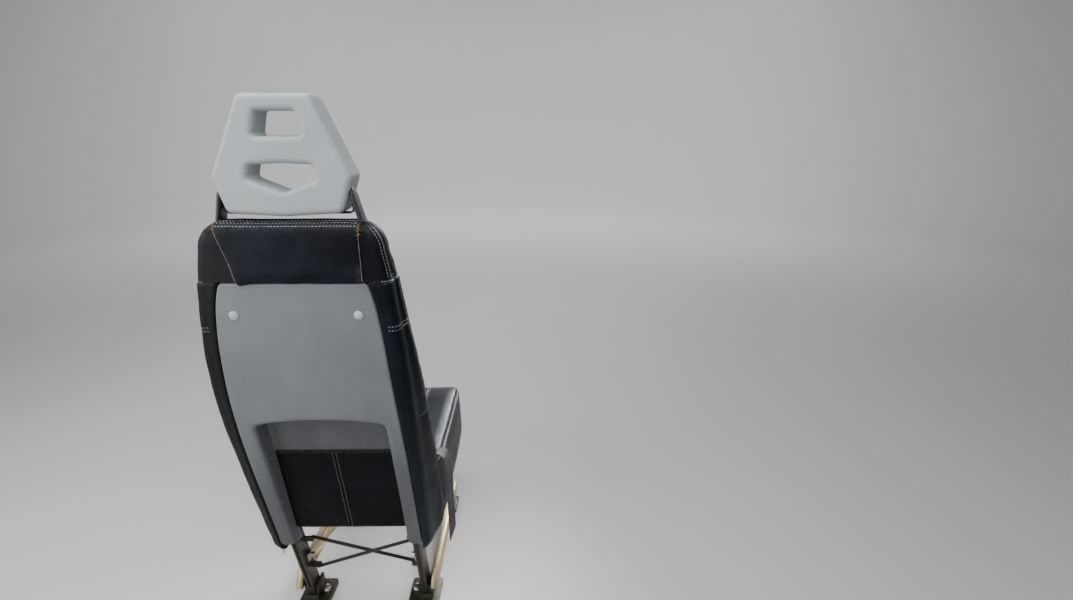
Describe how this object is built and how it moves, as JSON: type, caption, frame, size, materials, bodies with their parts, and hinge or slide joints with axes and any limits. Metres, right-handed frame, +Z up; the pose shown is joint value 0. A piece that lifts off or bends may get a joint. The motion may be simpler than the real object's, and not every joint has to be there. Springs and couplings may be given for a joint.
{
  "type": "helicopter passenger seat",
  "caption": "Leather cabin seat for a helicopter, with a moulded back shell and headrest, floor legs, and a seat that strokes down the legs in a hard landing.",
  "frame": {"origin": "on the floor, under the centre of the seat's bounding box", "axes": "+Z up, the occupant faces -Y, +X is the occupant's left"},
  "size_m": [0.507, 0.5689, 1.339],
  "materials": {
    "grey_moulding": "fine-grained matte moulding",
    "shell_moulding": "grained matte moulding",
    "leather": "soft creased satin hide with pale stitching",
    "arm_paint": "smooth satin paint, worn at the edges",
    "leg_paint": "olive primer, satin",
    "gold_alloy": "gold conversion coating, satin",
    "black_steel": "black oxide, satin",
    "bright_steel": "plain bright",
    "pan_composite": "black composite, matte",
    "webbing": "flat woven polyester",
    "cap_plastic": "semi-gloss"
  },
  "bodies": {
    "base": {"rear_leg_left": "leg_paint", "rear_leg_right": "leg_paint", "rear_foot_left": "leg_paint", "rear_foot_right": "leg_paint", "front_foot_left": "leg_paint", "front_foot_right": "leg_paint", "side_beam_left": "gold_alloy", "side_beam_right": "gold_alloy", "low_brace_left": "gold_alloy", "low_brace_right": "gold_alloy", "brace_bolt_left": "bright_steel", "brace_bolt_right": "bright_steel", "cross_rod_left": "black_steel", "cross_rod_right": "black_steel", "track_stud_rear_left": "bright_steel", "track_stud_rear_right": "bright_steel", "track_stud_front_left": "bright_steel", "track_stud_front_right": "bright_steel"},
    "seat": {"headrest": "grey_moulding", "back_shell": "shell_moulding", "back_cushion": "leather", "seat_cushion": "leather", "back_skirt": "leather", "headrest_arm_left": "arm_paint", "headrest_arm_right": "arm_paint", "headrest_bracket_left": "black_steel", "headrest_bracket_right": "black_steel", "carriage_left": "black_steel", "carriage_right": "black_steel", "upper_guide_left": "black_steel", "upper_guide_right": "black_steel", "harness_buckle": "black_steel", "lap_tongue": "bright_steel", "shoulder_tongue_left": "bright_steel", "shoulder_tongue_right": "bright_steel", "seat_pan": "pan_composite", "lap_belt_left": "webbing", "lap_belt_right": "webbing", "buckle_strap": "webbing", "shoulder_strap_left": "webbing", "shoulder_strap_right": "webbing", "shell_cap_left": "cap_plastic", "shell_cap_right": "cap_plastic"}
  },
  "joints": [
    {"name": "seat_stroke", "type": "slide", "parent": "base", "child": "seat", "axis": [0, 0.1628, 0.9867], "range_m": [-0.12, 0]}
  ]
}
